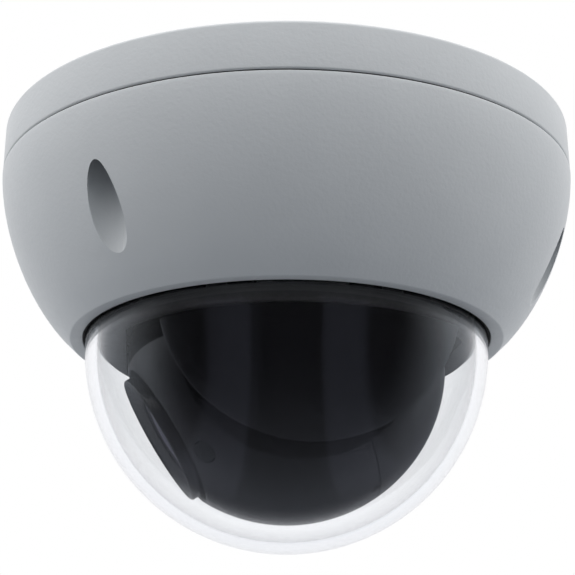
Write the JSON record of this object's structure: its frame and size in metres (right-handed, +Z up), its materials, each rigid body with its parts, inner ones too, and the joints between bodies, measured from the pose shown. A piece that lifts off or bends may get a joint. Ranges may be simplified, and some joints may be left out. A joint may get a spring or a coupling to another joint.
{
  "type": "ptz dome camera",
  "caption": "Small ceiling dome camera: grey bowl-shaped housing, clear dome, and a glossy black ball with a lens that pans, tilts and zooms inside it.",
  "frame": {"origin": "centre of the flat face that lies against the ceiling", "axes": "+Z points up into the ceiling, the camera hangs towards -Z, and its front is -Y"},
  "size_m": [0.1212, 0.1212, 0.089],
  "materials": {
    "powder_coat": "light cool grey powder coat with a fine orange-peel texture, satin",
    "rubber": "matt black rubber",
    "steel": "plain zinc-plated steel, satin",
    "screw_steel": "dark stainless steel",
    "clear_dome": "clear polished polycarbonate",
    "satin_black": "satin black plastic",
    "gloss_black": "glossy black plastic",
    "brass": "bare brass",
    "nylon": "natural white nylon",
    "board": "green circuit board with solder mask",
    "chip_black": "black moulded chip body",
    "lens_glass": "coated optical glass, dark",
    "red_filter": "red infrared-cut filter glass"
  },
  "bodies": {
    "base": {"base_housing": "powder_coat", "trim_cover": "powder_coat", "cable_gland": "rubber", "trim_seal": "rubber", "dome_gasket": "rubber", "mounting_plate": "steel", "card_socket": "steel", "pan_bracket": "steel", "pan_bearing": "steel", "pan_motor": "steel", "pan_motor_mount": "steel", "cover_screw_1": "screw_steel", "cover_screw_2": "screw_steel", "cover_screw_3": "screw_steel", "clamp_screw_1": "screw_steel", "clamp_screw_2": "screw_steel", "clamp_screw_3": "screw_steel", "dome": "clear_dome", "dome_clamp_ring": "satin_black", "network_socket": "nylon", "power_terminal": "nylon", "main_board": "board", "processor_chip": "chip_black", "memory_chip": "chip_black", "reset_switch": "chip_black"},
    "turret": {"turret_plate": "steel", "turret_hub": "steel", "hub_retaining_ring": "steel", "pan_gear": "nylon", "yoke_arm_near": "steel", "yoke_arm_far": "steel", "tilt_bush_near": "brass", "tilt_bush_far": "brass", "turret_cover": "gloss_black", "tilt_motor": "steel"},
    "head": {"ball_front_shell": "gloss_black", "ball_rear_shell": "gloss_black", "sensor_window": "lens_glass", "trunnion_near": "steel", "trunnion_far": "steel", "tilt_gear": "nylon", "lens_barrel": "satin_black", "lens_bezel": "gloss_black", "front_glass": "lens_glass", "image_sensor": "chip_black", "sensor_board": "board", "zoom_motor": "steel", "focus_motor": "steel"},
    "pan_pinion": {"pan_pinion": "brass"},
    "tilt_pinion": {"tilt_pinion": "brass"},
    "zoom_group": {"zoom_lens": "lens_glass"},
    "focus_group": {"focus_lens": "lens_glass"},
    "filter_slide": {"ir_cut_filter": "red_filter"},
    "memory_card": {"memory_card": "chip_black"},
    "reset_button": {"reset_button": "nylon"}
  },
  "joints": [
    {"name": "pan", "type": "hinge", "parent": "base", "child": "turret", "pos_m": [0, 0, 0], "axis": [0, 0, 1], "range_deg": [-177.5, 177.5]},
    {"name": "pan_pinion_spin", "type": "hinge", "parent": "base", "child": "pan_pinion", "pos_m": [0.02718, 0.03429, -0.0127], "axis": [0, 0, 1], "continuous": true},
    {"name": "tilt", "type": "hinge", "parent": "turret", "child": "head", "pos_m": [0, 0, -0.04995], "axis": [0.1219, -0.9925, 0], "range_deg": [-32.2, 57.8]},
    {"name": "tilt_pinion_spin", "type": "hinge", "parent": "turret", "child": "tilt_pinion", "pos_m": [0, 0, -0.03195], "axis": [0.1219, -0.9925, 0], "continuous": true},
    {"name": "zoom", "type": "slide", "parent": "head", "child": "zoom_group", "axis": [-0.8399, -0.1031, -0.5329], "range_m": [0, 0.007]},
    {"name": "focus", "type": "slide", "parent": "head", "child": "focus_group", "axis": [-0.8399, -0.1031, -0.5329], "range_m": [0, 0.0045]},
    {"name": "filter_shift", "type": "slide", "parent": "head", "child": "filter_slide", "axis": [-0.5289, -0.0649, 0.8462], "range_m": [0, 0.0055]},
    {"name": "card_pull", "type": "slide", "parent": "base", "child": "memory_card", "axis": [0, 0, -1], "range_m": [0, 0.011]},
    {"name": "reset_press", "type": "slide", "parent": "base", "child": "reset_button", "axis": [0, 0, 1], "range_m": [0, 0.0006], "stiffness_N_per_m": 300}
  ],
  "couplings": [
    {"joint": "pan_pinion_spin", "follows": "pan", "ratio": -4},
    {"joint": "tilt_pinion_spin", "follows": "tilt", "ratio": -4}
  ]
}
